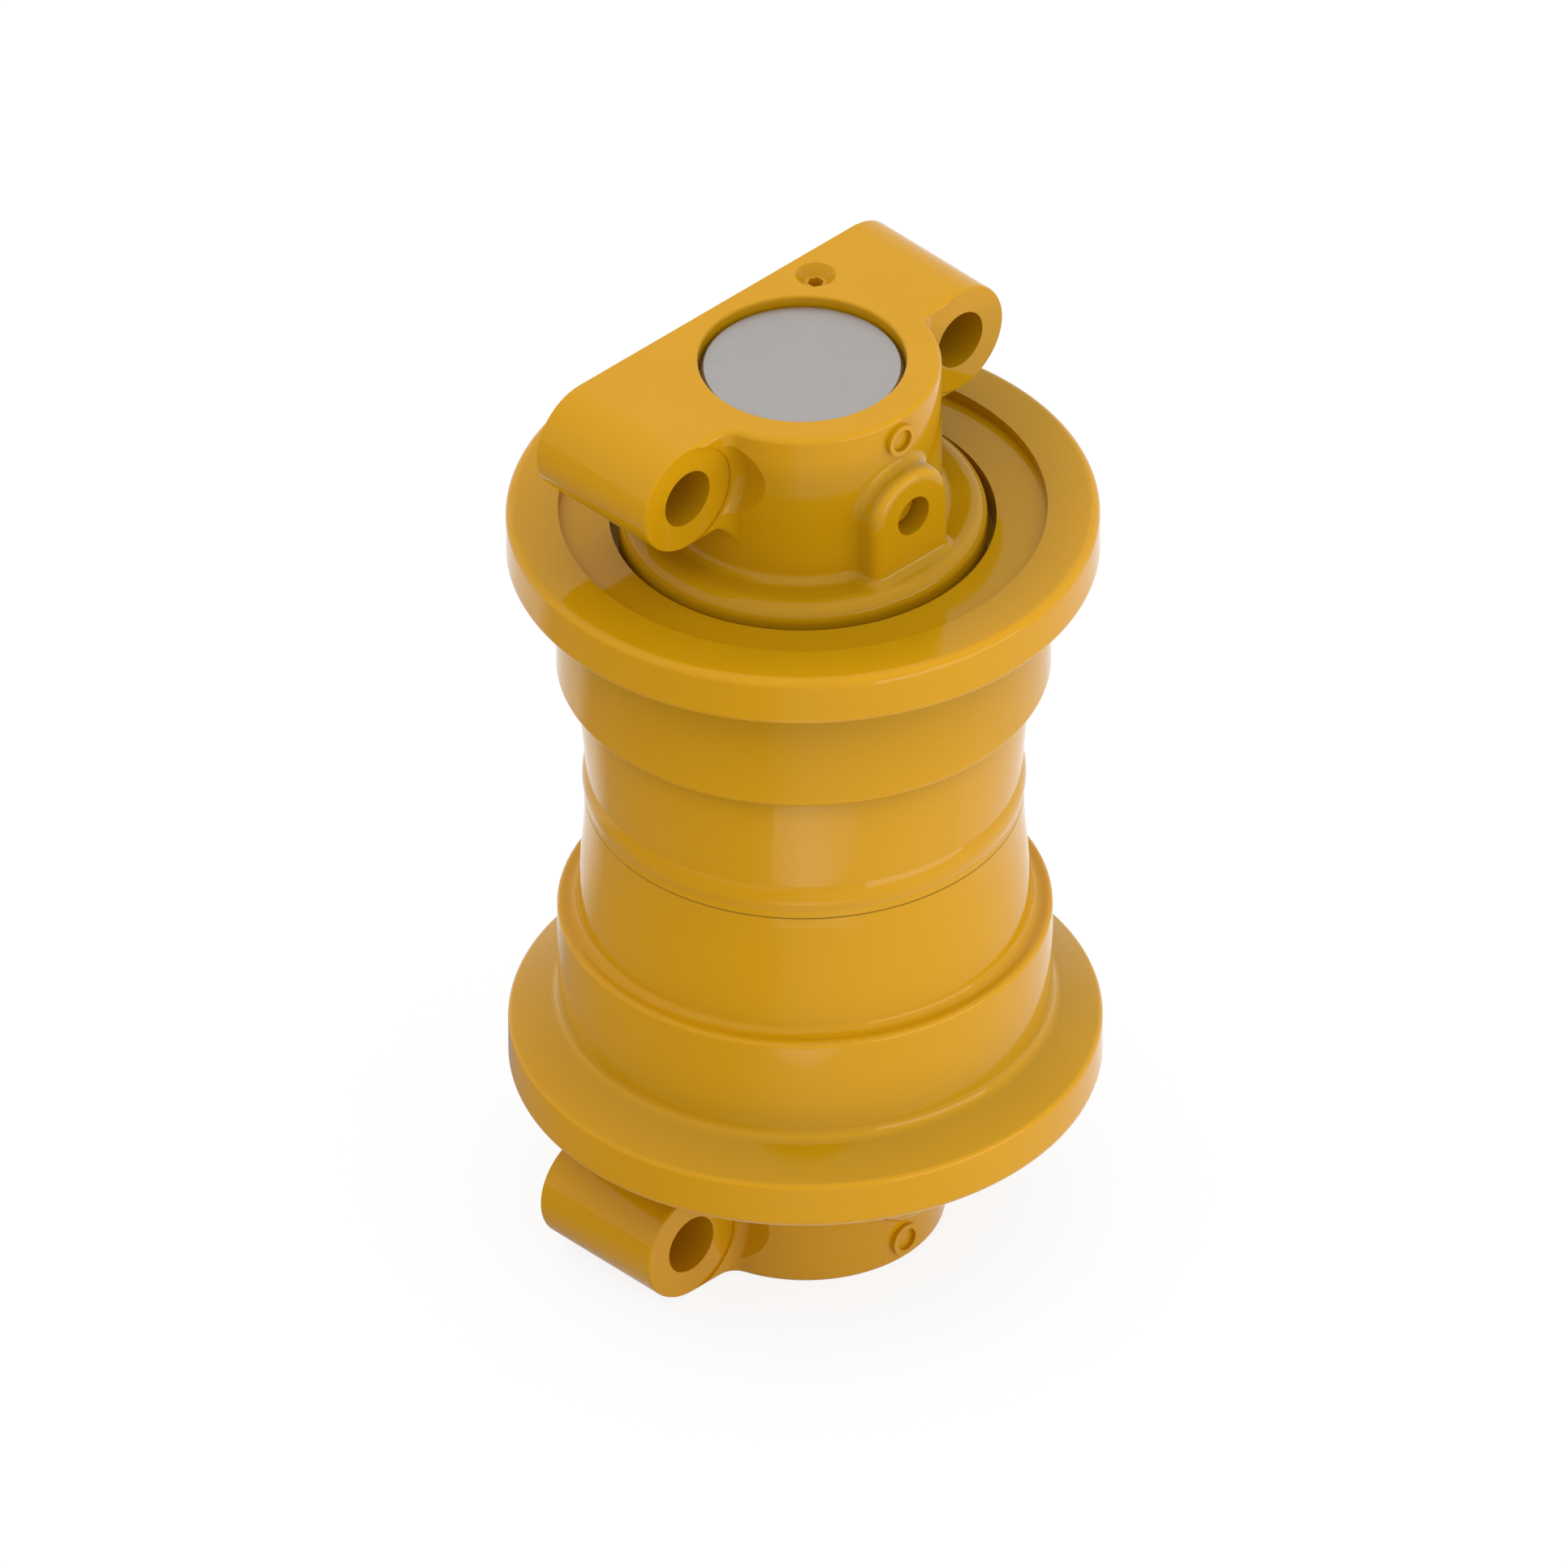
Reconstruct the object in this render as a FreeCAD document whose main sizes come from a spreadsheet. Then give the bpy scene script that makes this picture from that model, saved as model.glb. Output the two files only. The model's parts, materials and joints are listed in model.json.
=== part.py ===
import FreeCAD, Part
import math
import os
import re

import Sketcher

# Track bottom roller of a crawler undercarriage, in millimetres and degrees.
# The origin is the roller's centre on the shaft axis. +Z runs along the shaft, +X points away
# from the track frame that the brackets bolt to, and Y runs along the brackets.
# Heights count from the mid plane. A lower piece is its upper one turned half a turn about X.

SIZES = {
    # Overall, and the fits
    "overall_length": 440.0,
    "running_clearance": 0.06,
    "seat_clearance": 0.03,
    # Roller shell, outside
    "shell_wall": 31.7,
    "flange_height": 20.8,
    "flange_inset": 77.0,
    "flange_rim": 21.8,
    "flange_draft": 28.0,
    "flange_outer_round": 4.0,
    "flange_inner_round": 3.0,
    "flange_root_round": 6.0,
    "tread_start": 61.7,
    "tread_round": 2.5,
    "waist_step": 8.0,
    "waist_taper": 3.7,
    "waist_round": 4.0,
    "neck_dip": 0.6,
    "neck_height": 11.4,
    "bead_foot": 1.0,
    "bead_arc_radius": 16.6,
    "seam_drop": 4.8,
    "seam_bevel": 0.3,
    "seam_groove_width": 0.45,
    "seam_groove_depth": 1.5,
    "lower_neck_height": 17.0,
    "lower_neck_blend": 180.0,
    "flange_face_width": 22.0,
    "face_recess_depth": 5.0,
    # Roller shell, inside
    "bracket_clearance": 3.7,
    "counterbore_depth": 16.0,
    "seal_bore_depth": 13.0,
    "cavity_depth": 12.4,
    "cavity_height": 30.0,
    "cavity_slope": 45.0,
    # Shaft and bushings
    "shaft_radius": 42.5,
    "shaft_end_inset": 4.0,
    "shaft_chamfer": 1.0,
    "bushing_wall": 5.0,
    "bushing_inner_end": 42.0,
    "bushing_flange_width": 7.4,
    "bushing_flange_thickness": 6.0,
    "thrust_drop": 3.0,
    "thrust_gap": 0.2,
    # Bracket casting
    "hub_wall": 16.2,
    "sleeve_step": 2.2,
    "sleeve_clearance": 2.0,
    "seal_pocket_width": 16.0,
    "seal_pocket_wall": 5.3,
    "disc_inset": 73.7,
    "disc_round": 8.0,
    "root_round": 4.5,
    "rim_gap": 2.0,
    "mouth_step": 1.4,
    "mouth_depth": 12.0,
    "mouth_round": 1.2,
    "bolt_spacing": 160.0,
    "bolt_hole_radius": 13.0,
    "boss_radius": 25.0,
    "boss_front": 14.0,
    "mount_face": 52.0,
    "spot_face_radius": 24.5,
    "spot_face_depth": 1.0,
    "wrench_round": 4.9,
    "corner_round": 7.8,
    "casting_round": 2.5,
    # Lock pin and its pad on the bracket
    "pad_half_width": 22.0,
    "pad_height": 8.3,
    "pad_edge_round": 5.0,
    "pin_inset": 47.0,
    "pin_radius": 9.0,
    "pin_recess": 9.0,
    "pin_shaft_depth": 22.0,
    "pin_chamfer": 1.0,
    # Oil plug and the port that it closes
    "plug_inset": 13.5,
    "plug_offset": 2.9,
    "plug_radius": 4.85,
    "plug_length": 12.0,
    "plug_sink_radius": 8.6,
    "plug_sink_depth": 4.0,
    "plug_hex": 6.0,
    "plug_hex_depth": 5.0,
    "plug_room": 3.0,
    "port_radius": 2.0,
    "port_offset": 4.5,
    # Shaft O-ring
    "o_ring_section": 2.5,
    "o_ring_groove_width": 6.2,
    "o_ring_inset": 70.0,
    # Face seals
    "seal_ring_gap": 0.5,
    "seal_lip_gap": 2.0,
    "seal_lip_height": 3.5,
    "seal_ring_height": 11.5,
    "seal_ramp_angle": 10.0,
    "seal_film": 0.03,
    "toric_section": 4.2,
    "toric_height": 8.2,
    # Plain raised ring cast on the hub
    "mark_inset": 11.2,
    "mark_radius": 6.2,
    "mark_width": 2.2,
    "mark_relief": 2.0,
}

# Sizes that follow from the ones above: first heights over the mid plane, then radii and places.
DERIVED = {
    "end_face": "overall_length / 2",
    "flange_face": "end_face - flange_inset",
    "rim_back": "flange_face - flange_rim",
    "flange_root": "rim_back - flange_height * tan(flange_draft)",
    "recess_floor": "flange_face - face_recess_depth",
    "nose": "recess_floor - counterbore_depth",
    "shell_seal_floor": "nose - seal_bore_depth",
    "thrust_face": "shell_seal_floor - thrust_drop",
    "bushing_seat": "thrust_face - bushing_flange_thickness",
    "seal_plane": "nose + rim_gap / 2",
    "disc_end": "nose + rim_gap",
    "bracket_seal_floor": "disc_end + seal_bore_depth",
    "sleeve_end": "thrust_face + thrust_gap",
    "disc_top": "end_face - disc_inset",
    "bolt_height": "end_face - boss_radius",
    "pin_height": "end_face - pin_inset",
    "o_ring_height": "end_face - o_ring_inset",
    "bar_foot": "end_face - 2 * boss_radius",
    "bushing_bore": "shaft_radius + running_clearance",
    "bushing_outside": "bushing_bore + bushing_wall",
    "bushing_flange_radius": "bushing_outside + bushing_flange_width",
    "shell_bore": "bushing_outside + seat_clearance",
    "cavity_radius": "shell_bore + cavity_depth",
    "bracket_bore": "shaft_radius + seat_clearance",
    "mouth_radius": "shaft_radius + mouth_step",
    "hub_radius": "shaft_radius + hub_wall",
    "sleeve_radius": "hub_radius - sleeve_step",
    "thrust_bore": "sleeve_radius + sleeve_clearance",
    "seal_bore_radius": "sleeve_radius + seal_pocket_width",
    "disc_radius": "seal_bore_radius + seal_pocket_wall",
    "counterbore_radius": "disc_radius + bracket_clearance",
    "tread_radius": "seal_bore_radius + shell_wall",
    "flange_radius": "tread_radius + flange_height",
    "face_recess_radius": "flange_radius - flange_face_width",
    "waist_radius": "tread_radius - waist_step",
    "seam_radius": "waist_radius - waist_taper",
    "neck_radius": "seam_radius - neck_dip",
    "pad_face": "hub_radius + pad_height",
    "pin_hole": "pin_radius + seat_clearance",
    "plug_back": "mount_face - plug_inset",
    "plug_side": "shaft_radius + plug_offset",
    "plug_hole": "plug_radius + seat_clearance",
    "port_exit_radius": "shaft_radius + port_offset",
    "o_ring_groove": "bracket_bore + 2 * o_ring_section + seat_clearance",
    "toric_radius": "seal_bore_radius - toric_section - seat_clearance",
    "ramp_radius": "toric_radius - (toric_section + seat_clearance) / cos(seal_ramp_angle)",
    "seal_ring_inner": "thrust_bore + seal_ring_gap",
    "seal_lip_radius": "seal_bore_radius - seal_lip_gap",
}

# Lengths closer than TOUCH are equal. Points on one edge of a shape agree within NEAR.
TOUCH = 1e-4
NEAR = 0.01

HEXAGON_SIDES = 6
HEXAGON_TURN = 360 / HEXAGON_SIDES


def fill_sheet(document):
    """Put every size into the spreadsheet under its own name."""
    table = document.addObject("Spreadsheet::Sheet", "Sizes")
    formulas = {alias: f"={expression}" for alias, expression in DERIVED.items()}
    for row, (alias, content) in enumerate({**SIZES, **formulas}.items(), start=1):
        table.set(f"A{row}", alias)
        table.set(f"B{row}", str(content))
        table.setAlias(f"B{row}", alias)
    document.recompute()
    return table


doc = FreeCAD.newDocument("track_bottom_roller")
sheet = fill_sheet(doc)


def bound(expression):
    """Write the names of sizes in an expression as references to the spreadsheet."""
    return re.sub(r"[a-z][a-z_]+[a-z]", lambda found: reference(found.group()), expression)


def reference(word):
    return f"Sizes.{word}" if word in SIZES or word in DERIVED else word


def number(expression):
    """The present value of an expression of sizes."""
    return float(sheet.evalExpression(bound(expression)))


def new_body(label):
    body = doc.addObject("PartDesign::Body", label)
    body.Label = label
    return body


def add(body, kind, name, **sizes):
    """Add a feature to the body, with each given property bound to an expression of sizes."""
    feature = body.newObject(kind, name)
    for prop, expression in sizes.items():
        feature.setExpression(prop, bound(expression))
    return feature


def sketch_on(body, plane, name, **shift):
    """A sketch on one of the body's origin planes, shifted along its x, its y or its normal z."""
    sketch = body.newObject("Sketcher::SketchObject", name)
    support = next(part for part in body.Origin.OriginFeatures if part.Role == plane)
    sketch.AttachmentSupport = (support, [""])
    sketch.MapMode = "FlatFace"
    for direction, expression in shift.items():
        sketch.setExpression(f"AttachmentOffset.Base.{direction}", bound(expression))
    return sketch


def fix_distance(sketch, kind, geometry, point, expression):
    """Hold a point at a signed distance from the sketch's origin, along X or along Y.

    A sketch numbers its own X axis -1 and its Y axis -2, and the X axis starts at the origin.
    """
    here = number(expression)
    if abs(here) < TOUCH:
        axis = -2 if kind == "DistanceX" else -1
        sketch.addConstraint(Sketcher.Constraint("PointOnObject", geometry, point, axis))
    elif here > 0:
        index = sketch.addConstraint(Sketcher.Constraint(kind, -1, 1, geometry, point, here))
        sketch.setExpression(f"Constraints[{index}]", bound(expression))
    else:
        index = sketch.addConstraint(Sketcher.Constraint(kind, geometry, point, -1, 1, -here))
        sketch.setExpression(f"Constraints[{index}]", bound(f"-({expression})"))


def arc_between(start, end, radius):
    """The arc from start to end that bulges to the right of that direction."""
    chord = end - start
    rise = math.sqrt(max(radius**2 - (chord.Length / 2) ** 2, 0))
    to_left = FreeCAD.Vector(-chord.y, chord.x, 0).normalize()
    centre = (start + end) / 2 + to_left * rise
    angles = [math.atan2(p.y - centre.y, p.x - centre.x) for p in (start, end)]
    circle = Part.Circle(centre, FreeCAD.Vector(0, 0, 1), radius)
    return Part.ArcOfCircle(circle, *angles)


def outline(sketch, corners, arcs=None):
    """Draw a closed outline through the corners, anticlockwise and fixed by expressions.

    An entry of arcs makes the side that starts at that corner an arc. It holds the radius
    and a rule: "Bulge" or "Hollow" fixes that radius, for an arc that curves outwards or
    inwards, and "DistanceX" or "DistanceY" fixes the centre of a bulging one instead, by
    a third entry.
    """
    arcs = arcs or {}
    hollow = [index for index, (_, rule, *_) in arcs.items() if rule == "Hollow"]
    points = [FreeCAD.Vector(number(x), number(y), 0) for x, y in corners]
    for index, start in enumerate(points):
        end = points[(index + 1) % len(points)]
        if index in hollow:
            side = arc_between(end, start, number(arcs[index][0]))
        elif index in arcs:
            side = arc_between(start, end, number(arcs[index][0]))
        else:
            side = Part.LineSegment(start, end)
        sketch.addGeometry(side, False)
    for index, (x, y) in enumerate(corners):
        following = (index + 1) % len(corners)
        starts_at, ends_at = (2, 1) if index in hollow else (1, 2)
        next_starts_at = 2 if following in hollow else 1
        joint = Sketcher.Constraint("Coincident", index, ends_at, following, next_starts_at)
        sketch.addConstraint(joint)
        fix_distance(sketch, "DistanceX", index, starts_at, x)
        fix_distance(sketch, "DistanceY", index, starts_at, y)
    for index, (radius, rule, *centre) in arcs.items():
        if centre:
            fix_distance(sketch, rule, index, 3, *centre)
        else:
            fixed = sketch.addConstraint(Sketcher.Constraint("Radius", index, number(radius)))
            sketch.setExpression(f"Constraints[{fixed}]", bound(radius))


def circles(sketch, places):
    """Draw circles, each given by its centre and radius as expressions."""
    for x, y, radius in places:
        centre = FreeCAD.Vector(number(x), number(y), 0)
        circle = Part.Circle(centre, FreeCAD.Vector(0, 0, 1), number(radius))
        index = sketch.addGeometry(circle, False)
        fix_distance(sketch, "DistanceX", index, 3, x)
        fix_distance(sketch, "DistanceY", index, 3, y)
        rule = sketch.addConstraint(Sketcher.Constraint("Radius", index, number(radius)))
        sketch.setExpression(f"Constraints[{rule}]", bound(radius))


def turn(body, name, corners, arcs=None, kind="Revolution", axis="V_Axis", **shift):
    """Turn an outline about an axis of its sketch, as metal or as a cut.

    The sketch lies along the shaft, so its corners are (radius, height) about the V axis.
    """
    sketch = sketch_on(body, "XZ_Plane", f"{name}_outline", **shift)
    outline(sketch, corners, arcs)
    feature = body.newObject(f"PartDesign::{kind}", name)
    feature.Profile = sketch
    feature.ReferenceAxis = (sketch, [axis])
    doc.recompute()


def pad(body, name, sketch, length, sides="One side"):
    feature = add(body, "PartDesign::Pad", name, Length=length)
    feature.Profile = sketch
    feature.SideType = sides
    doc.recompute()


def cut_forward(body, name, sketch):
    """Cut everything in front of the sketch, along its normal."""
    feature = body.newObject("PartDesign::Pocket", name)
    feature.Profile = sketch
    feature.Type = "ThroughAll"
    feature.Reversed = True
    doc.recompute()


def near(value, expression):
    return abs(value - number(expression)) < NEAR


def from_axis(place):
    return math.hypot(place.x, place.y)


def anywhere(place):
    return True


def edges_where(shape, throughout, halfway):
    """Names of the edges that pass one test at both ends and the middle, and one there only."""
    names = []
    for index, edge in enumerate(shape.Edges, start=1):
        first, last = edge.ParameterRange
        middle = edge.valueAt((first + last) / 2)
        places = (edge.valueAt(first), middle, edge.valueAt(last))
        if all(throughout(place) for place in places) and halfway(middle):
            names.append(f"Edge{index}")
    return names


def ease(body, size, throughout, halfway=anywhere, kind="Fillet", prop="Radius"):
    """Round or bevel the edges of the body's last feature that pass the tests."""
    base = body.Tip
    names = edges_where(base.Shape, throughout, halfway)
    feature = add(body, f"PartDesign::{kind}", size, **{prop: size})
    feature.Base = (base, names)
    doc.recompute()


def ease_ring(body, size, radius, height, **options):
    """Round or bevel the full circle at a radius and a height."""
    ease(body, size, lambda p: near(from_axis(p), radius) and near(p.z, height), **options)


def bevel_ring(body, size, radius, height):
    ease_ring(body, size, radius, height, kind="Chamfer", prop="Size")


def turn_over(body):
    """Place a piece that was built for the upper end at the lower end."""
    half_turn = FreeCAD.Rotation(FreeCAD.Vector(1, 0, 0), 180)
    body.Placement = FreeCAD.Placement(FreeCAD.Vector(0, 0, 0), half_turn)


# Roller shell: two forgings joined at a seam just below the middle.


def shell_end():
    """Outline corners from the waist's end, round the flange and back down the bores."""
    slope_rise = "(cavity_radius - shell_bore) * tan(cavity_slope)"
    return [
        ("waist_radius", "tread_start"),
        ("tread_radius", "tread_start"),
        ("tread_radius", "flange_root"),
        ("flange_radius", "rim_back"),
        ("flange_radius", "flange_face"),
        ("face_recess_radius", "flange_face"),
        ("face_recess_radius", "recess_floor"),
        ("counterbore_radius", "recess_floor"),
        ("counterbore_radius", "nose"),
        ("seal_bore_radius", "nose"),
        ("seal_bore_radius", "shell_seal_floor"),
        ("thrust_bore", "shell_seal_floor"),
        ("thrust_bore", "bushing_seat"),
        ("shell_bore", "bushing_seat"),
        ("shell_bore", f"cavity_height + {slope_rise}"),
        ("cavity_radius", "cavity_height"),
    ]


def round_forging(body):
    """Round the corners of the waist, the tread and the flange."""
    ease_ring(body, "waist_round", "waist_radius", "tread_start")
    ease_ring(body, "tread_round", "tread_radius", "tread_start")
    ease_ring(body, "flange_root_round", "tread_radius", "flange_root")
    ease_ring(body, "flange_inner_round", "flange_radius", "rim_back")
    ease_ring(body, "flange_outer_round", "flange_radius", "flange_face")


def build_upper_shell():
    """The half with the raised bead, cut back at the seam to leave a fine groove there."""
    body = new_body("roller_shell_upper")
    groove_floor = "(seam_radius - seam_groove_depth)"
    corners = [
        ("cavity_radius", "-seam_drop"),
        (groove_floor, "-seam_drop"),
        (groove_floor, "seam_groove_width - seam_drop"),
        ("seam_radius", "seam_groove_width - seam_drop"),
        ("seam_radius", "-bead_foot"),
        ("neck_radius", "neck_height"),
    ]
    bead = {4: ("bead_arc_radius", "Bulge")}
    turn(body, "forging", corners + shell_end(), bead)
    round_forging(body)
    return body


def build_lower_shell():
    """The plain half below the seam, with a soft blend from its neck to its cone."""
    body = new_body("roller_shell_lower")
    slope = "atan((waist_radius - seam_radius) / (tread_start - lower_neck_height))"
    reach = f"(lower_neck_blend * tan({slope} / 2))"
    corners = [
        ("cavity_radius", "seam_drop"),
        ("seam_radius", "seam_drop"),
        ("seam_radius", f"lower_neck_height - {reach}"),
        (f"seam_radius + {reach} * sin({slope})", f"lower_neck_height + {reach} * cos({slope})"),
    ]
    turn(body, "forging", corners + shell_end(), {2: ("lower_neck_blend", "Hollow")})
    bevel_ring(body, "seam_bevel", "seam_radius", "seam_drop")
    round_forging(body)
    turn_over(body)
    return body


# Shaft and bushings


def build_shaft():
    """A plain turned bar with a blind cross hole near each end for the lock pins."""
    body = new_body("shaft")
    section = sketch_on(body, "XY_Plane", "section")
    circles(section, [("0", "0", "shaft_radius")])
    pad(body, "bar", section, "overall_length - 2 * shaft_end_inset", "Symmetric")
    for height in ("end_face - shaft_end_inset", "shaft_end_inset - end_face"):
        bevel_ring(body, "shaft_chamfer", "shaft_radius", height)
    holes = sketch_on(body, "YZ_Plane", "pin_holes", z="shaft_radius - pin_shaft_depth")
    circles(holes, [("0", "pin_height", "pin_hole"), ("0", "-pin_height", "pin_hole")])
    cut_forward(body, "pin_hole_pair", holes)
    return body


def build_bushing(side):
    body = new_body(f"{side}_bushing")
    corners = [
        ("bushing_bore", "bushing_inner_end"),
        ("bushing_outside", "bushing_inner_end"),
        ("bushing_outside", "bushing_seat"),
        ("bushing_flange_radius", "bushing_seat"),
        ("bushing_flange_radius", "thrust_face"),
        ("bushing_bore", "thrust_face"),
    ]
    turn(body, "sleeve", corners)
    if side == "lower":
        turn_over(body)
    return body


# Bracket casting


def add_hub(body):
    """The hub, its disc, and the ring-shaped hollow that houses the fixed seal."""
    corners = [
        ("0", "sleeve_end"),
        ("sleeve_radius", "sleeve_end"),
        ("sleeve_radius", "bracket_seal_floor"),
        ("seal_bore_radius", "bracket_seal_floor"),
        ("seal_bore_radius", "disc_end"),
        ("disc_radius", "disc_end"),
        ("disc_radius", "disc_top"),
        ("hub_radius", "disc_top"),
        ("hub_radius", "end_face"),
        ("0", "end_face"),
    ]
    turn(body, "hub", corners)


def add_bolt_bar(body):
    """The bar with rounded ends that holds the two bolts, and the flat back it mounts by."""
    bar = sketch_on(body, "YZ_Plane", "bar_outline", z="-mount_face")
    side = "(bolt_spacing / 2)"
    corners = [(f"-{side}", "bar_foot"), (side, "bar_foot"), (side, "end_face"), (f"-{side}", "end_face")]
    ends = {
        1: ("boss_radius", "DistanceX", side),
        3: ("boss_radius", "DistanceX", f"-{side}"),
    }
    outline(bar, corners, ends)
    pad(body, "bolt_bar", bar, "mount_face + boss_front")

    behind = sketch_on(body, "XY_Plane", "behind_mount_face", z="disc_top")
    corners = [
        ("-2 * hub_radius", "-hub_radius"),
        ("-mount_face", "-hub_radius"),
        ("-mount_face", "hub_radius"),
        ("-2 * hub_radius", "hub_radius"),
    ]
    outline(behind, corners)
    cut_forward(body, "flush_back", behind)


def add_pin_pad(body):
    """The upright pad on the front of the hub that the lock pin goes in through."""
    front = sketch_on(body, "YZ_Plane", "pad_outline")
    foot = "(disc_top - root_round)"
    corners = [
        ("-pad_half_width", foot),
        ("pad_half_width", foot),
        ("pad_half_width", "pin_height"),
        ("-pad_half_width", "pin_height"),
    ]
    outline(front, corners, {2: ("pad_half_width", "DistanceY", "pin_height")})
    pad(body, "pin_pad", front, "pad_face")


def round_casting(body):
    """Round the casting's inside corners and outside edges, each where the last one ends."""
    pad_top = "(pin_height + pad_half_width)"

    def at_pad_face(p):
        return near(p.x, "pad_face")

    def above_disc(p):
        return p.z > number("disc_top") + TOUCH

    def at_root(p):
        on_disc = near(p.z, "disc_top") and from_axis(p) < number("disc_radius") - TOUCH
        on_hub = near(from_axis(p), "hub_radius") and p.z < number(pad_top) + TOUCH
        return on_disc or (on_hub and abs(p.y) < number("pad_half_width") + TOUCH)

    def before_mount_face(p):
        return p.x > -number("mount_face") + TOUCH

    def at_bar_joint(p):
        meets = near(p.x, "boss_front") or near(p.z, "bar_foot")
        return meets and near(from_axis(p), "hub_radius")

    def at_front_rim(p):
        return near(p.z, "end_face") and p.x > number("boss_front") - TOUCH

    ease(body, "pad_edge_round", at_pad_face, above_disc)
    ease(body, "root_round", at_root, before_mount_face)
    ease_ring(body, "disc_round", "disc_radius", "disc_top")
    ease(body, "corner_round", at_bar_joint)
    ease(body, "casting_round", at_front_rim)


def bore_for_shaft(body):
    """The shaft's bore, its O-ring groove, and the wider mouth at the end face."""
    half_groove = "o_ring_groove_width / 2"
    corners = [
        ("0", "sleeve_end"),
        ("bracket_bore", "sleeve_end"),
        ("bracket_bore", f"o_ring_height - {half_groove}"),
        ("o_ring_groove", f"o_ring_height - {half_groove}"),
        ("o_ring_groove", f"o_ring_height + {half_groove}"),
        ("bracket_bore", f"o_ring_height + {half_groove}"),
        ("bracket_bore", "end_face - mouth_depth"),
        ("mouth_radius", "end_face - mouth_depth"),
        ("mouth_radius", "end_face"),
        ("0", "end_face"),
    ]
    turn(body, "shaft_bore", corners, kind="Groove")
    ease_ring(body, "mouth_round", "mouth_radius", "end_face")


def bore_for_bolts(body):
    """Each bolt's hole, its spot face, and the round recess in the hub that clears a wrench."""
    holes = sketch_on(body, "YZ_Plane", "bolt_holes", z="-mount_face")
    sides = ("bolt_spacing / 2", "-bolt_spacing / 2")
    circles(holes, [(side, "bolt_height", "bolt_hole_radius") for side in sides])
    cut_forward(body, "bolt_hole_pair", holes)

    spot_face = "(boss_front - spot_face_depth)"
    wrench_radius = "(spot_face_radius + wrench_round)"
    corners = [
        (spot_face, "0"),
        ("hub_radius", "0"),
        ("hub_radius", wrench_radius),
        ("boss_front + wrench_round", wrench_radius),
        ("boss_front", "spot_face_radius"),
        (spot_face, "spot_face_radius"),
    ]
    floor_round = {3: ("wrench_round", "Bulge")}
    for name, side in zip(("left", "right"), sides):
        cut = f"{name}_spot_face"
        turn(body, cut, corners, floor_round, "Groove", "H_Axis", y="bolt_height", z=side)


def bore_for_pin(body):
    hole = sketch_on(body, "YZ_Plane", "pin_hole")
    circles(hole, [("0", "pin_height", "pin_hole")])
    cut_forward(body, "pin_bore", hole)


def bore_for_plug(body):
    """The plug's countersunk hole, and the thin sloping port from it to the sleeve's end."""
    seat = "(end_face - plug_sink_depth)"
    floor = f"({seat} - plug_length - plug_room)"
    corners = [
        ("0", floor),
        ("plug_hole", floor),
        ("plug_hole", seat),
        ("plug_sink_radius", "end_face"),
        ("0", "end_face"),
    ]
    turn(body, "plug_hole", corners, kind="Groove", x="-plug_back", z="-plug_side")

    plug_axis = FreeCAD.Vector(-number("plug_back"), number("plug_side"), 0)
    share = number("port_exit_radius") / plug_axis.Length
    upwards = FreeCAD.Vector(0, 0, 1)
    top = plug_axis + upwards * number(floor)
    bottom = plug_axis * share + upwards * number("sleeve_end")
    slope = (top - bottom).normalize()
    open_end = slope * number("port_radius")
    port = add(body, "PartDesign::SubtractiveCylinder", "oil_port", Radius="port_radius")
    port.Height = (top - bottom + open_end * 2).Length
    port.Placement = FreeCAD.Placement(bottom - open_end, FreeCAD.Rotation(upwards, slope))
    doc.recompute()


def add_mark(body):
    """The plain raised ring cast on the front of the hub."""
    ring = sketch_on(body, "YZ_Plane", "mark_outline", z="hub_radius - mark_width")
    height = "(end_face - mark_inset)"
    radii = ("mark_radius + mark_width / 2", "mark_radius - mark_width / 2")
    circles(ring, [("0", height, radius) for radius in radii])
    pad(body, "raised_mark", ring, "mark_width + mark_relief")


def build_bracket(side):
    body = new_body(f"{side}_bracket")
    add_hub(body)
    add_bolt_bar(body)
    add_pin_pad(body)
    round_casting(body)
    add_mark(body)
    bore_for_shaft(body)
    bore_for_bolts(body)
    bore_for_pin(body)
    bore_for_plug(body)
    if side == "lower":
        turn_over(body)
    return body


# Small pieces that each bracket holds


def build_lock_pin(side):
    """A straight pin that stops the shaft in the bracket from turning or sliding."""
    body = new_body(f"{side}_lock_pin")
    inner_end = "(shaft_radius - pin_shaft_depth + seat_clearance)"
    section = sketch_on(body, "YZ_Plane", "section", z=inner_end)
    circles(section, [("0", "pin_height", "pin_radius")])
    outer_end = "(pad_face - pin_recess)"
    pad(body, "pin", section, f"{outer_end} - {inner_end}")

    def at_end(p):
        return near(p.x, inner_end) or near(p.x, outer_end)

    ease(body, "pin_chamfer", at_end, kind="Chamfer", prop="Size")
    if side == "lower":
        turn_over(body)
    return body


def build_oil_plug(side):
    """A headless screw plug with a hexagon socket."""
    body = new_body(f"{side}_oil_plug")
    top = "(end_face - plug_sink_depth)"
    section = sketch_on(body, "XY_Plane", "section", z=f"{top} - plug_length")
    circles(section, [("-plug_back", "plug_side", "plug_radius")])
    pad(body, "screw", section, "plug_length")
    socket = sketch_on(body, "XY_Plane", "socket_outline", z=f"{top} - plug_hex_depth")
    reach = "plug_hex / sqrt(3)"
    corners = []
    for corner in range(HEXAGON_SIDES):
        angle = HEXAGON_TURN * corner
        corners.append((f"{reach} * cos({angle}) - plug_back", f"{reach} * sin({angle}) + plug_side"))
    outline(socket, corners)
    cut_forward(body, "socket", socket)
    if side == "lower":
        turn_over(body)
    return body


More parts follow.
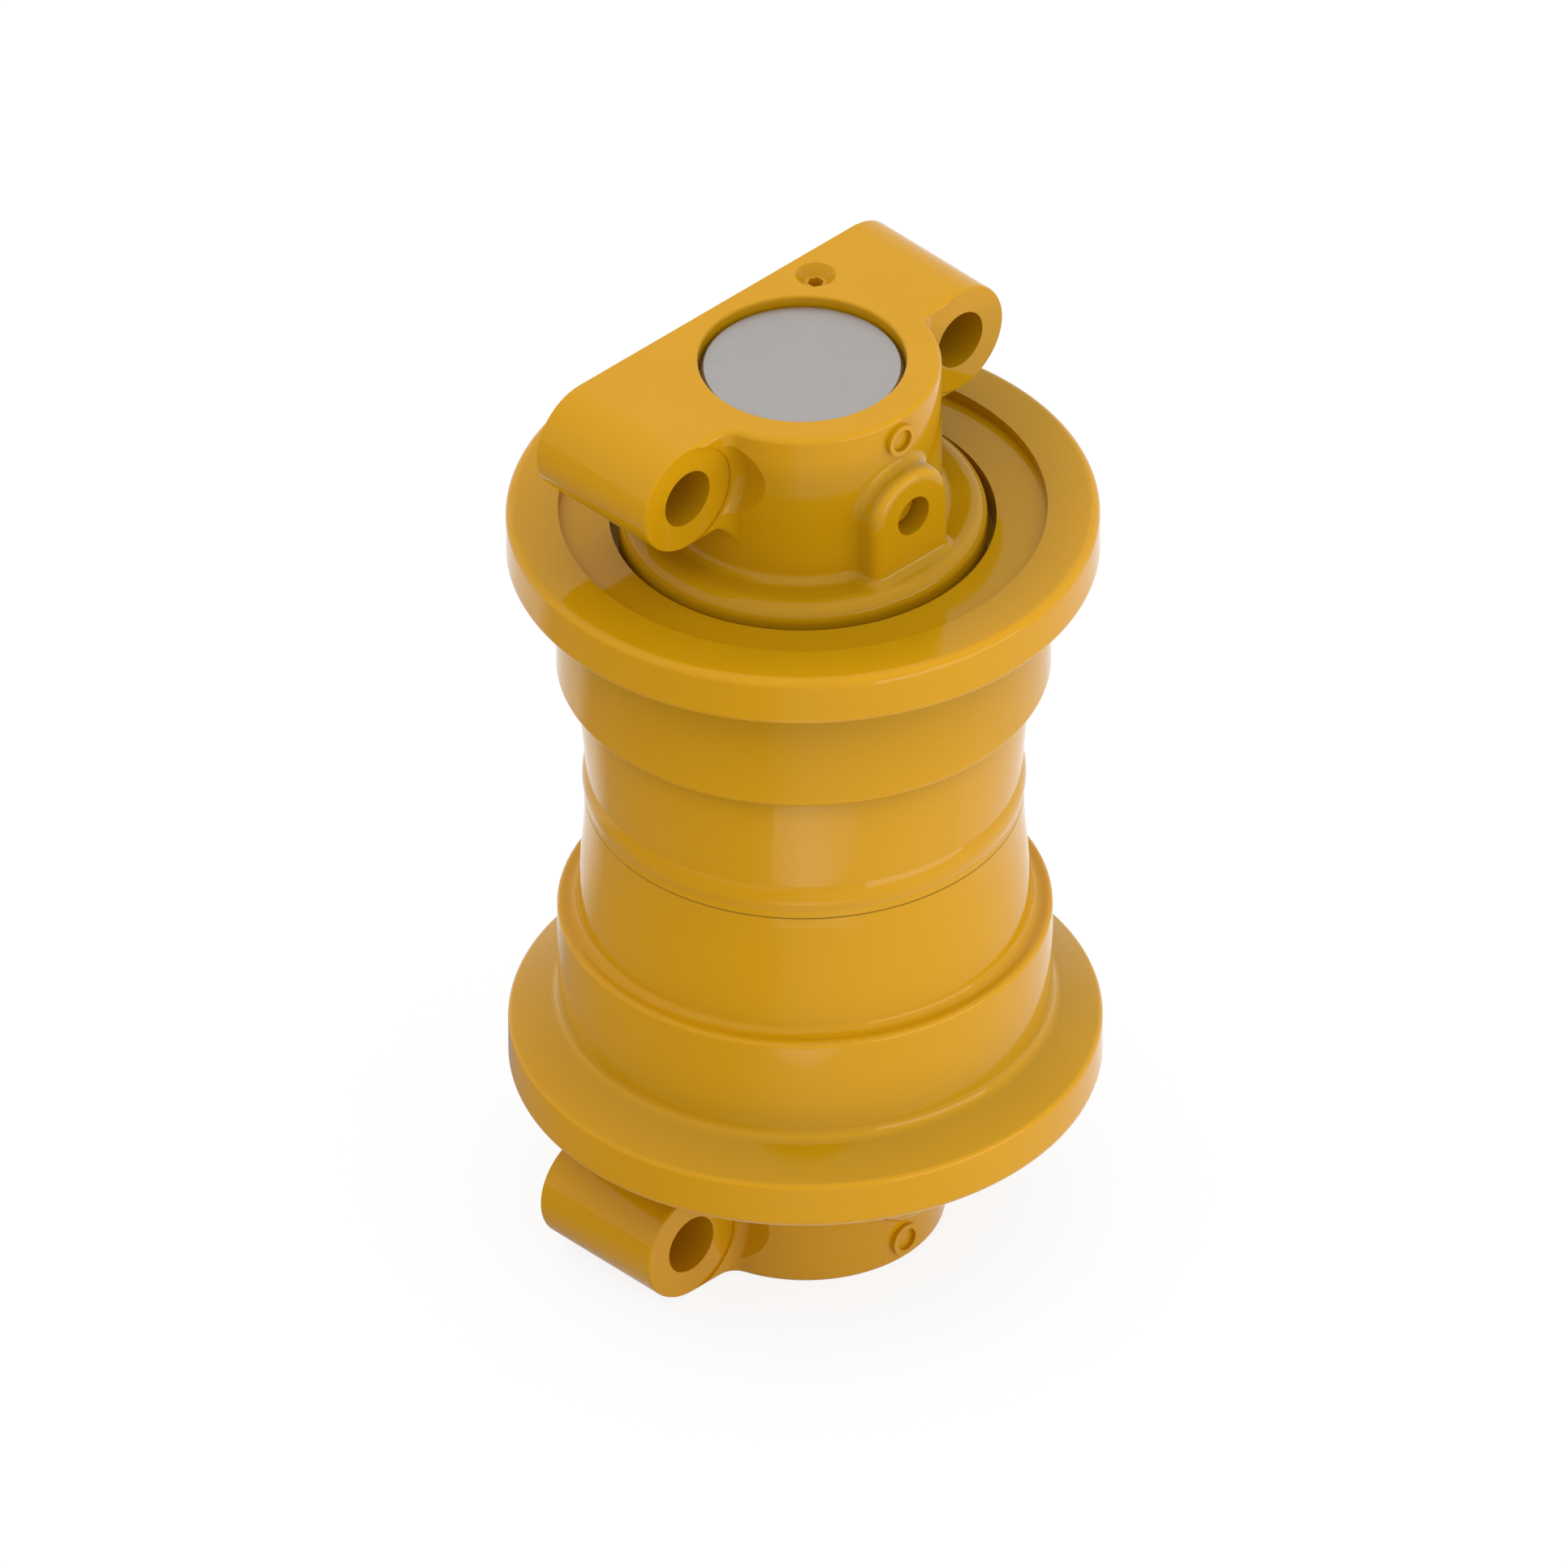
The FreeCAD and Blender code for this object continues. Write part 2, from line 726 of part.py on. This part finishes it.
def build_seal_ring(label, direction):
    """One metal ring of a face seal, its lip towards the other ring and its slope away."""
    body = new_body(label)

    def height(rise):
        return f"seal_plane + {direction} * ({rise})"

    def slope(rise):
        return f"ramp_radius + (toric_height - {rise}) * tan(seal_ramp_angle)"

    corners = [
        ("seal_ring_inner", height("seal_film")),
        ("seal_lip_radius", height("seal_film")),
        ("seal_lip_radius", height("seal_lip_height")),
        (slope("seal_lip_height"), height("seal_lip_height")),
        (slope("seal_ring_height"), height("seal_ring_height")),
        ("seal_ring_inner", height("seal_ring_height")),
    ]
    turn(body, "ring", corners[::direction])
    return body


def build_rubber_ring(label, radius, section, height):
    ring = doc.addObject("Part::Torus", label)
    ring.setExpression("Radius1", bound(radius))
    ring.setExpression("Radius2", bound(section))
    ring.setExpression("Placement.Base.z", bound(height))
    return ring


def build_end(side):
    """Every piece that lies at one end of the roller, besides the shell and the shaft."""
    sign = 1 if side == "upper" else -1
    pieces = [build_bushing(side), build_bracket(side), build_lock_pin(side), build_oil_plug(side)]
    around_shaft = "shaft_radius + o_ring_section + seat_clearance"
    level = f"{sign} * o_ring_height"
    pieces.append(build_rubber_ring(f"{side}_shaft_o_ring", around_shaft, "o_ring_section", level))
    for carrier, direction in (("fixed", 1), ("running", -1)):
        ring = build_seal_ring(f"{side}_{carrier}_seal_ring", direction)
        if side == "lower":
            turn_over(ring)
        level = f"{sign} * (seal_plane + {direction} * toric_height)"
        toric = build_rubber_ring(f"{side}_{carrier}_toric", "toric_radius", "toric_section", level)
        pieces += [ring, toric]
    return pieces


def check(document, pieces):
    """Stop unless every object was computed and every piece is one valid solid."""
    for item in document.Objects:
        if "Invalid" in item.State or "Error" in item.State:
            raise RuntimeError(f"{item.Label} could not be computed")
    for piece in pieces:
        shape = piece.Shape
        if shape.isNull() or not shape.isValid() or len(shape.Solids) != 1:
            raise RuntimeError(f"{piece.Label} is not one valid solid")


pieces = [build_upper_shell(), build_lower_shell(), build_shaft()]
for end in ("upper", "lower"):
    pieces += build_end(end)
doc.recompute()
check(doc, pieces)

os.makedirs("parts", exist_ok=True)
for piece in pieces:
    piece.Shape.exportStep(f"parts/{piece.Label}.step")
    print(f"{piece.Label}: {piece.Shape.Volume / 1000:.1f} cm3")
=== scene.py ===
"""Finishes, soft studio light and camera for a track bottom roller.

Lengths are in metres, in the part's own frame: +Z along the shaft, +X away from the track
frame, and Y along the bolt bars of the brackets. The scale of a noise is in features a metre.
"""

import json
import math

import bpy
from mathutils import Matrix, Vector

# The middle of a noise, where nearly all of it lies
NOISE_MIDDLE = (0.3, 0.7)

# Yellow enamel
ENAMEL_DEEP = (0.672, 0.325, 0.0035, 1)
ENAMEL_LIGHT = (0.688, 0.335, 0.0045, 1)
ENAMEL_SPECK = (0.64, 0.305, 0.004, 1)
# Darker enamel colour for the painted shade in hollows and beside the seam
ENAMEL_PAINTED_SHADE = (0.465, 0.249, 0.0026, 1)
ENAMEL_IOR = 1.30
CLOUD_SCALE = 14.0
SPECK_SCALE = 900.0
SPECK_SHARE = 0.25
DULL_PATCH_SCALE = 45.0
ENAMEL_ROUGHNESS = (0.04, 0.09)
PEEL_SCALE = 420.0
PEEL_DETAIL = 2.0
PEEL_DEPTH = 3e-6
WAVE_SCALE = 55.0
WAVE_DEPTH = 1e-5

# Painted shade on the enamel, darker in hollows, and the share of it that some places keep
PAINTED_SHADE_REACH = 0.08
PAINTED_SHADE_RAYS = 8
KEPT_ON_WALLS = 0.75
FOOT_TOP = -0.13
FOOT_EDGE = 0.02
KEPT_AT_FOOT = 0.25
WAIST_Z = -0.02
WAIST_REACH = 0.06
WAIST_EDGE = 0.02
KEPT_AT_WAIST = 0.35
TOP_START = 0.20
TOP_EDGE = 0.01
KEPT_AT_TOP = 0.45
# The side that keeps the full painted shade; the part's other side is painted lighter
SHADED_SIDE = Vector((0.7, 0.7, 0.0))
LIGHTER_SIDE_START = -0.12
KEPT_AT_LIGHTER_SIDE = 0.5
SEAM_Z = -0.0047
SEAM_REACH = 0.0006

# Metals turned on a lathe
METALS = {
    "turned_steel": {
        "light": (0.435, 0.415, 0.40, 1), "dark": (0.425, 0.405, 0.39, 1),
        "roughness": (0.36, 0.42), "ring_pitch": 0.0006, "ring_depth": 1e-6,
    },
    "bronze": {
        "light": (0.58, 0.38, 0.17, 1), "dark": (0.50, 0.31, 0.13, 1),
        "roughness": (0.3, 0.42), "ring_pitch": 0.0005, "ring_depth": 1e-6,
    },
    "seal_iron": {
        "light": (0.17, 0.165, 0.16, 1), "dark": (0.12, 0.117, 0.113, 1),
        "roughness": (0.3, 0.42), "ring_pitch": 0.0004, "ring_depth": 5e-7,
    },
}
STAIN_SCALE = 60.0
SATIN_SCALE = 160.0

# Black rubber
RUBBER_DARK = (0.022, 0.022, 0.022, 1)
RUBBER_BLOOM = (0.04, 0.039, 0.037, 1)
BLOOM_SCALE = 90.0
RUBBER_ROUGHNESS = (0.55, 0.7)
RUBBER_PATCH_SCALE = 200.0
GRAIN_SCALE = 1500.0
GRAIN_DEPTH = 1e-5

# The room, whose front faces the part's +X and -Y sides
ROOM_RIGHT = Vector((0.7, 0.714, 0.0))
ROOM_FRONT = Vector((0.714, -0.7, 0.0))
AMBIENT = 0.48
TOWARDS_LIGHT = (0.0, -0.06, 0.87)
SIDE_LIGHT_PLACE = Vector((1.57, 0.30, 0.10))
SIDE_LIGHT_SIZE = (1.6, 0.6)
SIDE_LIGHT_WATTS = 8.5

# The floor, and the painted reflections that gloss shows of it
FLOOR_Z = -0.22
FLOOR_SIZE = 12.0
FLOOR_COLOUR = (0.6, 0.6, 0.6, 1)
FLOOR_ROUGHNESS = 0.9
FLOOR_WHITENESS = 0.75
FLOOR_GLOW = 1.15
# Gloss alone shows the floor darker on the left: a painted reflection shade
SHADE_LEFT = -0.15
SHADE_BACK = -0.22
SHADE_EDGE = 0.08
SHADE_LEVEL = 0.2
# A card that glows in gloss alone: a painted reflection
CARD_NEAR = 0.30
CARD_FAR = 0.38
CARD_LEFT = -0.09
CARD_RIGHT = 0.02
CARD_EDGE = 0.01
CARD_FADE = 0.17
CARD_GLOW = 2.4

# The camera
CAMERA_RIGHT = Vector((0.6971, 0.7169, -0.0042))
CAMERA_UP = Vector((-0.4244, 0.4174, 0.8036))
CAMERA_DISTANCE = 3.0
FRAME_WIDTH = 0.659
FRAME_OFFSET = (-0.0085, -0.0021)


def add_node(tree, kind, settings=None, **inputs):
    """Add a shader node. An input holds a value, or another node's output to join to it.

    An input goes by its name, with _ for a space, or by _ and its number.
    """
    node = tree.nodes.new(kind)
    for name, value in (settings or {}).items():
        setattr(node, name, value)
    for name, value in inputs.items():
        socket = node.inputs[int(name[1:]) if name[1:].isdigit() else name.replace("_", " ")]
        if isinstance(value, bpy.types.NodeSocket):
            tree.links.new(value, socket)
        else:
            socket.default_value = value
    return node


def arithmetic(tree, operation, *values):
    """The output of a Math node over one to three values."""
    inputs = {f"_{index}": value for index, value in enumerate(values)}
    return add_node(tree, "ShaderNodeMath", {"operation": operation}, **inputs).outputs[0]


def product(tree, values):
    """Several values multiplied together."""
    total, *others = values
    for value in others:
        total = arithmetic(tree, "MULTIPLY", total, value)
    return total


def distance(tree, value, centre):
    """How far a value is from a centre, on either side."""
    return arithmetic(tree, "ABSOLUTE", arithmetic(tree, "SUBTRACT", value, centre))


def along(tree, place, direction):
    """How far a place lies along a direction."""
    kind = {"operation": "DOT_PRODUCT"}
    return add_node(tree, "ShaderNodeVectorMath", kind, _0=place, _1=direction).outputs["Value"]


def upwards(tree, vector):
    """A vector's own Z."""
    return add_node(tree, "ShaderNodeSeparateXYZ", Vector=vector).outputs["Z"]


def noise(tree, place, scale, detail=3.0):
    """Smooth noise from 0 to 1."""
    node = add_node(tree, "ShaderNodeTexNoise", Vector=place, Scale=scale, Detail=detail)
    return node.outputs["Fac"]


def ramp(tree, value, start, end, low=0.0, high=1.0):
    """Run steadily from low to high while the value runs from start to end."""
    inputs = {"Value": value, "From_Min": start, "From_Max": end, "To_Min": low, "To_Max": high}
    return add_node(tree, "ShaderNodeMapRange", **inputs).outputs["Result"]


def patches(tree, place, scale, low=0.0, high=1.0):
    """Noise whose middle is stretched to run from low to high."""
    return ramp(tree, noise(tree, place, scale), *NOISE_MIDDLE, low, high)


def blend(tree, share, first, second):
    """Mix two colours by a share from 0 to 1."""
    node = add_node(tree, "ShaderNodeMix", {"data_type": "RGBA"}, _0=share, _6=first, _7=second)
    return node.outputs[2]


def bump(tree, height, depth, normal=None):
    """A normal bent by a height from 0 to 1 that stands for depth metres."""
    inputs = {"Height": height, "Distance": depth, "Strength": 1.0}
    if normal is not None:
        inputs["Normal"] = normal
    return add_node(tree, "ShaderNodeBump", **inputs).outputs["Normal"]


def new_material(name):
    """An empty material, its node tree, its main shader and the place in the part's frame."""
    material = bpy.data.materials.new(name)
    material.use_nodes = True
    tree = material.node_tree
    place = add_node(tree, "ShaderNodeTexCoord").outputs["Object"]
    return material, tree, tree.nodes["Principled BSDF"], place


def finish_surface(tree, shader, colour, roughness, normal):
    """Join a colour, a roughness and a normal to the main shader."""
    tree.links.new(colour, shader.inputs["Base Color"])
    tree.links.new(roughness, shader.inputs["Roughness"])
    tree.links.new(normal, shader.inputs["Normal"])


def painted_shade(tree, place):
    """How strongly painted shade darkens the enamel: most in hollows that face up, which ambient
    occlusion finds, least at the lower end.

    The painted shade is also weaker about the waist, at the very top, and on the part's left, as
    seen from the room's front.
    """
    rays = {"samples": PAINTED_SHADE_RAYS}
    # Ambient occlusion darkens the enamel in hollows: painted shade
    open_air = add_node(tree, "ShaderNodeAmbientOcclusion", rays, Distance=PAINTED_SHADE_REACH).outputs["AO"]
    facing = add_node(tree, "ShaderNodeTexCoord").outputs["Normal"]
    height = upwards(tree, place)
    from_waist = distance(tree, height, WAIST_Z)
    shares = [
        ramp(tree, open_air, 1.0, 1 - 1 / PAINTED_SHADE_RAYS),
        ramp(tree, upwards(tree, facing), 0.0, 1.0, KEPT_ON_WALLS, 1.0),
        ramp(tree, height, FOOT_TOP - FOOT_EDGE, FOOT_TOP, KEPT_AT_FOOT, 1.0),
        ramp(tree, from_waist, WAIST_REACH, WAIST_REACH + WAIST_EDGE, KEPT_AT_WAIST, 1.0),
        ramp(tree, height, TOP_START, TOP_START + TOP_EDGE, 1.0, KEPT_AT_TOP),
        # Painted light: the part's left side keeps less of the painted shade
        ramp(tree, along(tree, place, SHADED_SIDE), LIGHTER_SIDE_START, 0.0, KEPT_AT_LIGHTER_SIDE, 1.0),
    ]
    return product(tree, shares)


def seam_painted_shade(tree, place):
    """How much painted shade darkens the enamel beside the fine seam between the shell's two
    forgings.
    """
    return ramp(tree, distance(tree, upwards(tree, place), SEAM_Z), SEAM_REACH, SEAM_REACH / 2)


def enamel():
    """Glossy yellow enamel: faint cloudiness, painted shade in hollows and beside the seam, a few
    dull patches and a fine orange peel.
    """
    material, tree, shader, place = new_material("yellow_paint")
    speck = arithmetic(tree, "MULTIPLY", patches(tree, place, SPECK_SCALE), SPECK_SHARE)
    # Painted shade: darkening in hollows and along the seam
    painted_shade_share = arithmetic(tree, "MAXIMUM", painted_shade(tree, place), seam_painted_shade(tree, place))
    colour = blend(tree, patches(tree, place, CLOUD_SCALE), ENAMEL_DEEP, ENAMEL_LIGHT)
    colour = blend(tree, speck, colour, ENAMEL_SPECK)
    colour = blend(tree, painted_shade_share, colour, ENAMEL_PAINTED_SHADE)
    roughness = patches(tree, place, DULL_PATCH_SCALE, *ENAMEL_ROUGHNESS)
    peel = bump(tree, noise(tree, place, PEEL_SCALE, PEEL_DETAIL), PEEL_DEPTH)
    normal = bump(tree, noise(tree, place, WAVE_SCALE), WAVE_DEPTH, peel)
    finish_surface(tree, shader, colour, roughness, normal)
    shader.inputs["IOR"].default_value = ENAMEL_IOR
    return material


def turned_metal(name, light, dark, roughness, ring_pitch, ring_depth):
    """Metal turned on a lathe: fine rings about the shaft's axis, and soft stains."""
    material, tree, shader, place = new_material(name)
    axes = add_node(tree, "ShaderNodeSeparateXYZ", Vector=place).outputs
    flat = add_node(tree, "ShaderNodeCombineXYZ", X=axes["X"], Y=axes["Y"]).outputs[0]
    length = {"operation": "LENGTH"}
    radius = add_node(tree, "ShaderNodeVectorMath", length, _0=flat).outputs["Value"]
    travel = arithmetic(tree, "ADD", radius, axes["Z"])
    wave = arithmetic(tree, "SINE", arithmetic(tree, "MULTIPLY", travel, math.tau / ring_pitch))
    colour = blend(tree, patches(tree, place, STAIN_SCALE), light, dark)
    satin = patches(tree, place, SATIN_SCALE, *roughness)
    finish_surface(tree, shader, colour, satin, bump(tree, wave, ring_depth))
    shader.inputs["Metallic"].default_value = 1.0
    return material


def rubber():
    """Matt black rubber with a dusty bloom and a fine grain."""
    material, tree, shader, place = new_material("seal_rubber")
    colour = blend(tree, patches(tree, place, BLOOM_SCALE), RUBBER_DARK, RUBBER_BLOOM)
    roughness = patches(tree, place, RUBBER_PATCH_SCALE, *RUBBER_ROUGHNESS)
    normal = bump(tree, noise(tree, place, GRAIN_SCALE), GRAIN_DEPTH)
    finish_surface(tree, shader, colour, roughness, normal)
    return material


def make_materials():
    """Every finish, by the name of its slot in the record."""
    metals = {name: turned_metal(name, **look) for name, look in METALS.items()}
    return {"yellow_paint": enamel(), "seal_rubber": rubber(), **metals}


def dress(node, material):
    """Give a CAD piece its finish."""
    mesh = node.data
    mesh.materials.clear()
    mesh.materials.append(material)


def white_to_the_eye(tree):
    """1 for rays that the camera sees straight, in gloss or through glass, and 0 for others."""
    path = add_node(tree, "ShaderNodeLightPath").outputs
    seen = arithmetic(tree, "MAXIMUM", path["Is Camera Ray"], path["Is Glossy Ray"])
    return arithmetic(tree, "MAXIMUM", seen, path["Is Transmission Ray"])


def make_world():
    """A plain white room that lights the part softly, most from above."""
    world = bpy.data.worlds.new("studio")
    bpy.context.scene.world = world
    world.use_nodes = True
    tree = world.node_tree
    direction = add_node(tree, "ShaderNodeTexCoord").outputs["Generated"]
    level = arithmetic(tree, "ADD", along(tree, direction, TOWARDS_LIGHT), AMBIENT)
    inputs = {"_0": white_to_the_eye(tree), "_2": level, "_3": 1.0}
    strength = add_node(tree, "ShaderNodeMix", {"data_type": "FLOAT"}, **inputs).outputs[0]
    background = tree.nodes["Background"]
    background.inputs["Color"].default_value = (1, 1, 1, 1)
    tree.links.new(strength, background.inputs["Strength"])


def floor_material():
    """A pale floor that the camera sees as nearly white.

    Gloss alone shows it darker on the left, a painted reflection shade, and with one brighter
    glowing card in front, a painted reflection.
    """
    material, tree, shader, place = new_material("pale_floor")
    shader.inputs["Base Color"].default_value = FLOOR_COLOUR
    shader.inputs["Roughness"].default_value = FLOOR_ROUGHNESS
    sideways = along(tree, place, ROOM_RIGHT)
    forwards = along(tree, place, ROOM_FRONT)
    glossy = add_node(tree, "ShaderNodeLightPath").outputs["Is Glossy Ray"]
    # Painted reflection: a card glowing in gloss alone, brighter than the floor
    painted_reflection_card = product(tree, [
        glossy,
        ramp(tree, forwards, CARD_NEAR, CARD_NEAR + CARD_EDGE),
        ramp(tree, forwards, CARD_FAR, CARD_FAR - CARD_EDGE),
        ramp(tree, sideways, CARD_LEFT, CARD_LEFT + CARD_EDGE),
        ramp(tree, sideways, CARD_RIGHT + CARD_FADE, CARD_RIGHT, 0.0, CARD_GLOW),
    ])
    # Painted reflection shade: gloss alone shows the floor darker on the left
    painted_reflection_shade = product(tree, [
        glossy,
        ramp(tree, sideways, 0.0, SHADE_LEFT),
        ramp(tree, forwards, SHADE_BACK, SHADE_BACK + SHADE_EDGE),
    ])
    level = ramp(tree, painted_reflection_shade, 0.0, 1.0, 1.0, SHADE_LEVEL)
    strength = product(tree, [arithmetic(tree, "ADD", painted_reflection_card, FLOOR_GLOW), level])
    glow = add_node(tree, "ShaderNodeEmission", Strength=strength)
    share = arithmetic(tree, "MULTIPLY", white_to_the_eye(tree), FLOOR_WHITENESS)
    inputs = {"_0": share, "_1": shader.outputs[0], "_2": glow.outputs[0]}
    mixed = add_node(tree, "ShaderNodeMixShader", **inputs)
    tree.links.new(mixed.outputs[0], tree.nodes["Material Output"].inputs["Surface"])
    return material


def make_floor():
    """A wide pale floor under the part's lower end, with the part's shadow left on it."""
    half = FLOOR_SIZE / 2
    mesh = bpy.data.meshes.new("floor")
    corners = [(-half, -half), (half, -half), (half, half), (-half, half)]
    mesh.from_pydata([(x, y, FLOOR_Z) for x, y in corners], [], [(0, 1, 2, 3)])
    mesh.materials.append(floor_material())
    floor = bpy.data.objects.new("floor", mesh)
    bpy.context.scene.collection.objects.link(floor)


def make_side_light():
    """One broad soft lamp beside the camera, low on its right."""
    lamp = bpy.data.lights.new("side_light", "AREA")
    lamp.energy = SIDE_LIGHT_WATTS
    lamp.shape = "RECTANGLE"
    lamp.size, lamp.size_y = SIDE_LIGHT_SIZE
    light = bpy.data.objects.new("side_light", lamp)
    light.location = SIDE_LIGHT_PLACE
    light.rotation_mode = "QUATERNION"
    light.rotation_quaternion = SIDE_LIGHT_PLACE.to_track_quat("Z", "Y")
    bpy.context.scene.collection.objects.link(light)


def make_camera():
    """The photograph's parallel view, from 46 degrees round and 36.5 degrees up."""
    data = bpy.data.cameras.new("camera")
    data.type = "ORTHO"
    data.ortho_scale = FRAME_WIDTH
    data.clip_end = 2 * CAMERA_DISTANCE
    camera = bpy.data.objects.new("camera", data)
    right = CAMERA_RIGHT.normalized()
    back = right.cross(CAMERA_UP).normalized()
    up = back.cross(right)
    offset = right * FRAME_OFFSET[0] + up * FRAME_OFFSET[1]
    turn = Matrix((right, up, back)).transposed().to_4x4()
    camera.matrix_world = Matrix.Translation(back * CAMERA_DISTANCE + offset) @ turn
    bpy.context.scene.collection.objects.link(camera)
    bpy.context.scene.camera = camera


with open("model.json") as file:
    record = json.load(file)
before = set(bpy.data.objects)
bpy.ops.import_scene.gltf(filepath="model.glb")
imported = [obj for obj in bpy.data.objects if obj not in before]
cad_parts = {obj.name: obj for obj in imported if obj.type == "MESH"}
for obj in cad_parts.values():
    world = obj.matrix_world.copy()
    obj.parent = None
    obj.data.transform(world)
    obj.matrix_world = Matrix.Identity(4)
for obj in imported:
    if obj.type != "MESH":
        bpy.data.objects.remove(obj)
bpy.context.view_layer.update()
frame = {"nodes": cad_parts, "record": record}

materials = make_materials()
slots = {row["node"]: row["material_slot"] for row in frame["record"]["subparts"]}
for name, node in frame["nodes"].items():
    dress(node, materials[slots[name]])

make_world()
make_floor()
make_side_light()
make_camera()
bpy.context.scene.view_settings.view_transform = "Standard"
